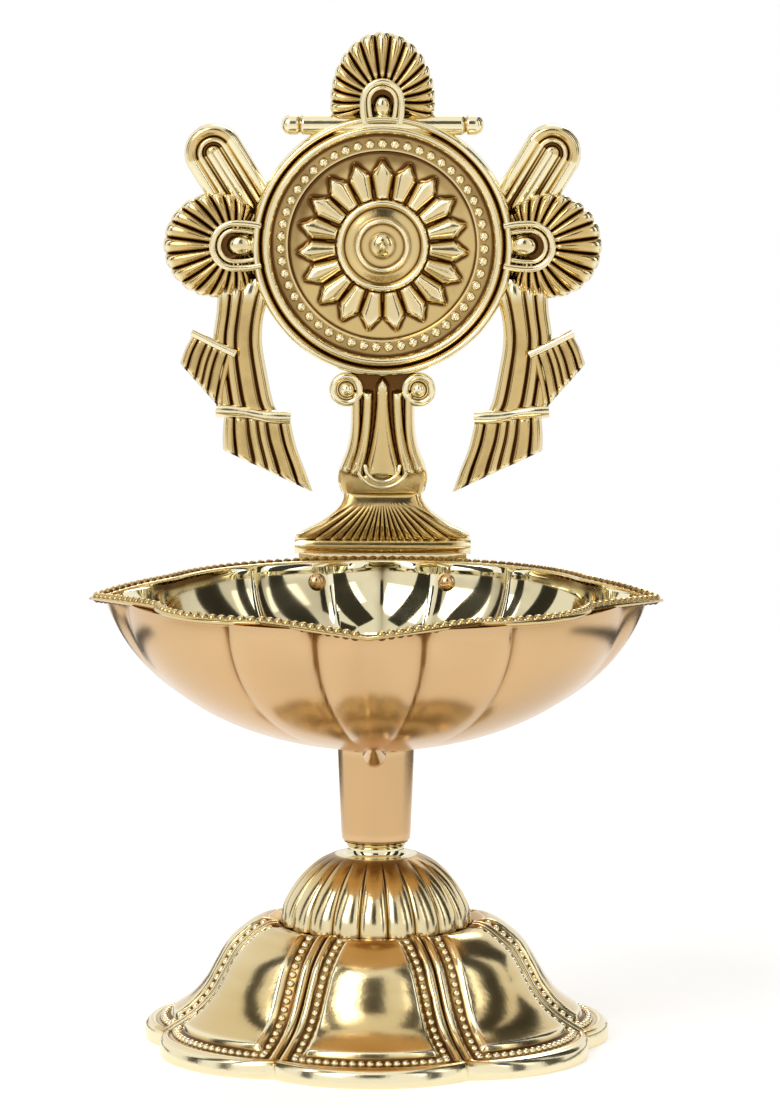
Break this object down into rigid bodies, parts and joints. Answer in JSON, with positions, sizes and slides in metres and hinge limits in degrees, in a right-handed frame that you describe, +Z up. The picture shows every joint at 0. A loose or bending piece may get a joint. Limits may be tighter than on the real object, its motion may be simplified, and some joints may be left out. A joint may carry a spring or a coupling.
{
  "type": "standing oil lamp",
  "caption": "Brass oil lamp: petal foot, fluted dome and stem carry a wide bowl with pointed wick spouts, with an upright openwork relief plate of a petalled wheel behind it.",
  "frame": {"origin": "on the floor, on the axis of the stem, in the middle of the foot's rim", "axes": "+Z up along the stem, -Y towards the front wick spout, the relief plate stands at +Y"},
  "size_m": [0.092, 0.0911, 0.1608],
  "materials": {
    "cast_brass": "polished high spots, dark patina in the recesses",
    "turned_brass": "polished",
    "satin_brass": "satin outside, mirror polished inside the bowl",
    "zinc_steel": "zinc plated"
  },
  "bodies": {
    "base": {"petal_foot": "cast_brass", "fluted_dome": "cast_brass", "foot_nut": "zinc_steel"},
    "collar": {"neck_ring": "turned_brass"},
    "upper": {"stem": "satin_brass", "stud": "zinc_steel", "bowl": "satin_brass", "chakra_plate": "cast_brass", "plate_screws": "turned_brass"}
  },
  "joints": [
    {"name": "collar_lift", "type": "slide", "parent": "base", "child": "collar", "axis": [0, 0, 1], "range_m": [0, 0.0055]},
    {"name": "stem_turn", "type": "hinge", "parent": "collar", "child": "upper", "pos_m": [0, 0, 0.0326], "axis": [0, 0, 1], "range_deg": [0, 1980]}
  ],
  "couplings": [
    {"joint": "collar_lift", "follows": "stem_turn", "m_per_rad": 0.00015915}
  ]
}
